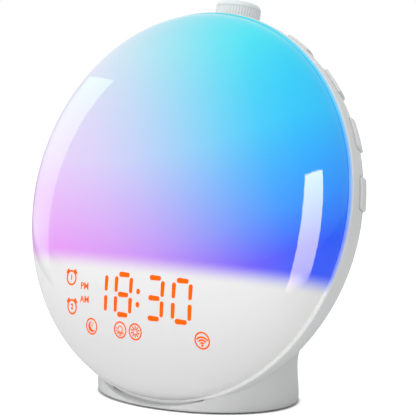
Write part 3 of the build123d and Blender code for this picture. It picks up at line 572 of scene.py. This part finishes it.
put_sign(copy_sign(dot), 1.3, -48.5)
lay_on_dome("lit_digits")

# Words beside the digits
for word, x, w in (("PM", -31.9, -42.9), ("AM", -31.7, -48.9)):
    put_sign(draw_text(word, height=3.0, bolder=0.06), x, w)

# Two alarm clocks, numbered, each with a pair of bells
pair_x, pair_w, pair_turn = 2.75, 2.85, 42.0
for number, x, w in (("1", -41.3, -39.6), ("2", -40.6, -52.7)):
    put_sign(draw_ring(radius=3.5, line=0.8), x, w)
    put_sign(draw_text(number, height=2.4, bolder=0.12), x, w)
    for side in (1, -1):
        bell = draw_bar(length=2.6, width=1.3)
        put_sign(bell, x + side * pair_x, w + pair_w, side * pair_turn)

# Round icons: moon, bell, sun and wireless, each in a ring
icon_w = -60.4
moon_x, bell_x, sun_x, waves_x = -26.7, -8.6, 0.3, 35.7
for x in (moon_x - 0.2, bell_x, sun_x, waves_x):
    put_sign(draw_ring(radius=3.75, line=0.66), x, icon_w)

# The moon is a half circle drawn out to the right, with two small stars beside it
moon = draw_disc(2.35, 32, "NOTHING")
pick(edit_mesh(moon), "VERT", lambda place: place.x > tiny)
bpy.ops.mesh.delete(type="VERT")
bpy.ops.mesh.select_all(action="SELECT")
bpy.ops.mesh.extrude_region_move(TRANSFORM_OT_translate={"value": (1.5 * mm, 0.0, 0.0)})
bpy.ops.object.mode_set(mode="OBJECT")
put_sign(moon, moon_x, icon_w - 0.1, 30.0)
for x, w, length in ((0.2, 0.5, 1.0), (0.9, 1.5, 0.7)):
    put_sign(draw_bar(length, width=0.5), moon_x + x, icon_w + w, 70.0)

# The bell is a disc whose lower half is pulled flat and down, above its rim and clapper, with
# two short strokes beside it
bell = draw_disc(1.5, 24)
pick(edit_mesh(bell), "VERT", lambda place: place.y < -tiny)
bpy.ops.transform.resize(value=(1.0, 0.0, 1.0), center_override=(0.0, 0.0, 0.0))
bpy.ops.transform.translate(value=(0.0, -1.5 * mm, 0.0))
hollow(0.42)
bpy.ops.object.mode_set(mode="OBJECT")
put_sign(bell, bell_x, icon_w + 0.4)
put_sign(draw_bar(length=4.2, width=0.5), bell_x, icon_w - 1.5, 90.0)
put_sign(draw_bar(length=1.2, width=0.6), bell_x, icon_w - 2.3, 90.0)
for w in (0.7, -0.5):
    put_sign(draw_bar(length=0.8, width=0.5), bell_x - 2.2, icon_w + w, 90.0)

# The sun is ten rays in a circle
rays, ray_radius = 10, 1.75
ray = draw_bar(length=1.8, width=0.62)
put_sign(ray, sun_x, icon_w + ray_radius)
for number in range(1, rays):
    turn = number * 360.0 / rays
    x, w = -ray_radius * sin(radians(turn)), ray_radius * cos(radians(turn))
    put_sign(copy_sign(ray), sun_x + x, icon_w + w, turn)

# The wireless sign is three arcs over a dot, each about 50 degrees to both sides of upright
waves_w, wedge = icon_w - 2.1, 0.85
for radius in (3.9, 2.7, 1.5):
    arc = draw_ring(radius, 0.72, lambda place: place.y > abs(place.x) * wedge)
    put_sign(arc, waves_x, waves_w)
put_sign(draw_bar(length=1.1, width=1.05), waves_x, waves_w)
lay_on_dome("lit_signs")

# ---- Floor and backdrop ----
# A pale sheet that is white to the camera beside the foot, wherever no shadow falls on it.
# Under the foot it stays dark, so the foot is seen to stand on it.
bpy.ops.object.select_all(action="DESELECT")
bpy.ops.mesh.primitive_plane_add(size=6.0, location=(0.0, 0.0, 0.0))
floor = bpy.context.object
floor.name = "floor"
floor_white, shade, wire = new_finish("floor_white")
foot_half_x, foot_half_y, foot_middle = 0.0506, 0.0376, 0.0015
x, y = shade.axes(shade.place())[:2]
x, y = x * (1.0 / foot_half_x), (y - foot_middle) * (1.0 / foot_half_y)
beside = shade.step(x * x + y * y, 1.0, 1.07)
seen = shade.node("ShaderNodeLightPath", output="Is Camera Ray")
wire(
    Base_Color=grey(0.85),
    Roughness=0.8,
    Specular_IOR_Level=0.1,
    Emission_Color=shade.mix(seen * beside, grey(0.0), grey(0.6)),
    Emission_Strength=1.0,
)
floor.data.materials.append(floor_white)

# ---- Studio light ----
# An even white room, a large soft lamp from the upper left, a long low one that fills the shade
# round the foot, and two tall softboxes that only show as reflections in the dome.
scene = bpy.context.scene
scene.world = bpy.data.worlds.new("room")
scene.world.use_nodes = True
room = scene.world.node_tree
background = room.nodes["Background"]
shade = Shade(room)
camera_ray, glossy_ray = (
    shade.node("ShaderNodeLightPath", output=f"Is {kind} Ray") for kind in ("Camera", "Glossy")
)
seen = shade.math("MAXIMUM", camera_ray, glossy_ray)
room_level = 0.52
background.inputs["Color"].default_value = grey(1.0)
room.links.new((seen * (1.0 - room_level) + room_level).socket, background.inputs["Strength"])


def stand(turn, distance, side=0.0):
    """A place on the floor that far from the middle. A turn of 0 is in front, 90 degrees on
    the right, and side is how far it is moved along the wall there."""
    return distance * sin(turn) + side * cos(turn), side * sin(turn) - distance * cos(turn)


def lamp(name, azimuth, height, distance, size, power, aim_height):
    """A rectangular lamp that faces the clock's axis at aim_height, and shows in nothing."""
    place = Vector((*stand(radians(azimuth), distance), height))
    facing = (Vector((0.0, 0.0, aim_height)) - place).to_track_quat("-Z", "Y").to_euler()
    bpy.ops.object.light_add(type="AREA", location=place, rotation=facing)
    made = bpy.context.object
    made.name = name
    made.data.shape = "RECTANGLE"
    made.data.size, made.data.size_y = size
    made.data.energy = power
    made.visible_camera = made.visible_glossy = False


lamp(
    "key_lamp", azimuth=-20.0, height=1.6, distance=0.6, size=(1.4, 1.4), power=15.5,
    aim_height=0.09,
)
lamp(
    "fill_lamp", azimuth=10.0, height=0.12, distance=1.2, size=(2.6, 0.3), power=2.8,
    aim_height=0.03,
)
gloss_only = bpy.data.collections.new("gloss_only")  # what the softboxes show in
gloss_only.objects.link(nodes["front_diffuser"])


def softbox(name, azimuth, distance, across, heights, colour, strength, foot, fade=1.0):
    """An upright panel that only shows in gloss, and fades out at its foot. across and heights
    are its edges, foot is the share of its height that fades out, and fade is its strength at
    its first edge, as a share of the second."""
    turn = radians(azimuth)
    bpy.ops.mesh.primitive_plane_add(size=1.0)
    made = bpy.context.object
    made.name = name
    made.location = (*stand(turn, distance, sum(across) / 2), sum(heights) / 2)
    made.rotation_euler = (radians(90.0), 0.0, turn)
    made.scale = (across[1] - across[0], heights[1] - heights[0], 1.0)
    material, shade, wire = new_finish(name)
    x, y = shade.axes(shade.place())[:2]  # each from -0.5 to 0.5
    rise = shade.step(y, -0.5, foot - 0.5) * (y + 1.5) * 0.5
    level = rise * ((x + 0.5) * (1.0 - fade) + fade)
    wire(
        Base_Color=grey(0.0),
        Specular_IOR_Level=0.0,
        Emission_Color=shade.mix(level, grey(0.0), tint(colour)),
        Emission_Strength=strength,
    )
    made.data.materials.append(material)
    made.visible_camera = made.visible_diffuse = made.visible_transmission = False
    made.visible_shadow = False
    made.light_linking.receiver_collection = gloss_only


softbox(
    "left_softbox", azimuth=-50.0, distance=0.30, across=(-0.60, -0.125), heights=(0.01, 0.305),
    colour=(0.74, 1.0, 0.74), strength=3.8, foot=0.14, fade=0.12,
)
softbox(
    "right_softbox", azimuth=49.0, distance=0.17, across=(-0.022, 0.040), heights=(0.025, 0.174),
    colour=(0.94, 0.78, 0.5), strength=20.0, foot=0.2,
)

# ---- Camera ----
# It stands in front and to the right, slightly above the middle of the face, and looks almost
# straight at it through a long lens.
turn, rise, distance = radians(38.755), radians(6.041), 0.8
look_turn, look_down = radians(38.011), radians(6.160)
raised = 0.0004
sight = Vector((sin(turn) * cos(rise), -cos(turn) * cos(rise), sin(rise)))
bpy.ops.object.camera_add(
    location=middle + distance * sight + Vector((0.0, 0.0, raised)),
    rotation=(radians(90.0) - look_down, 0.0, look_turn),
)
scene.camera = bpy.context.object
scene.camera.data.sensor_width = 36.0
scene.camera.data.lens = 152.1

# ---- Finish ----
# Colours show as they are written.
scene.view_settings.view_transform = "Standard"
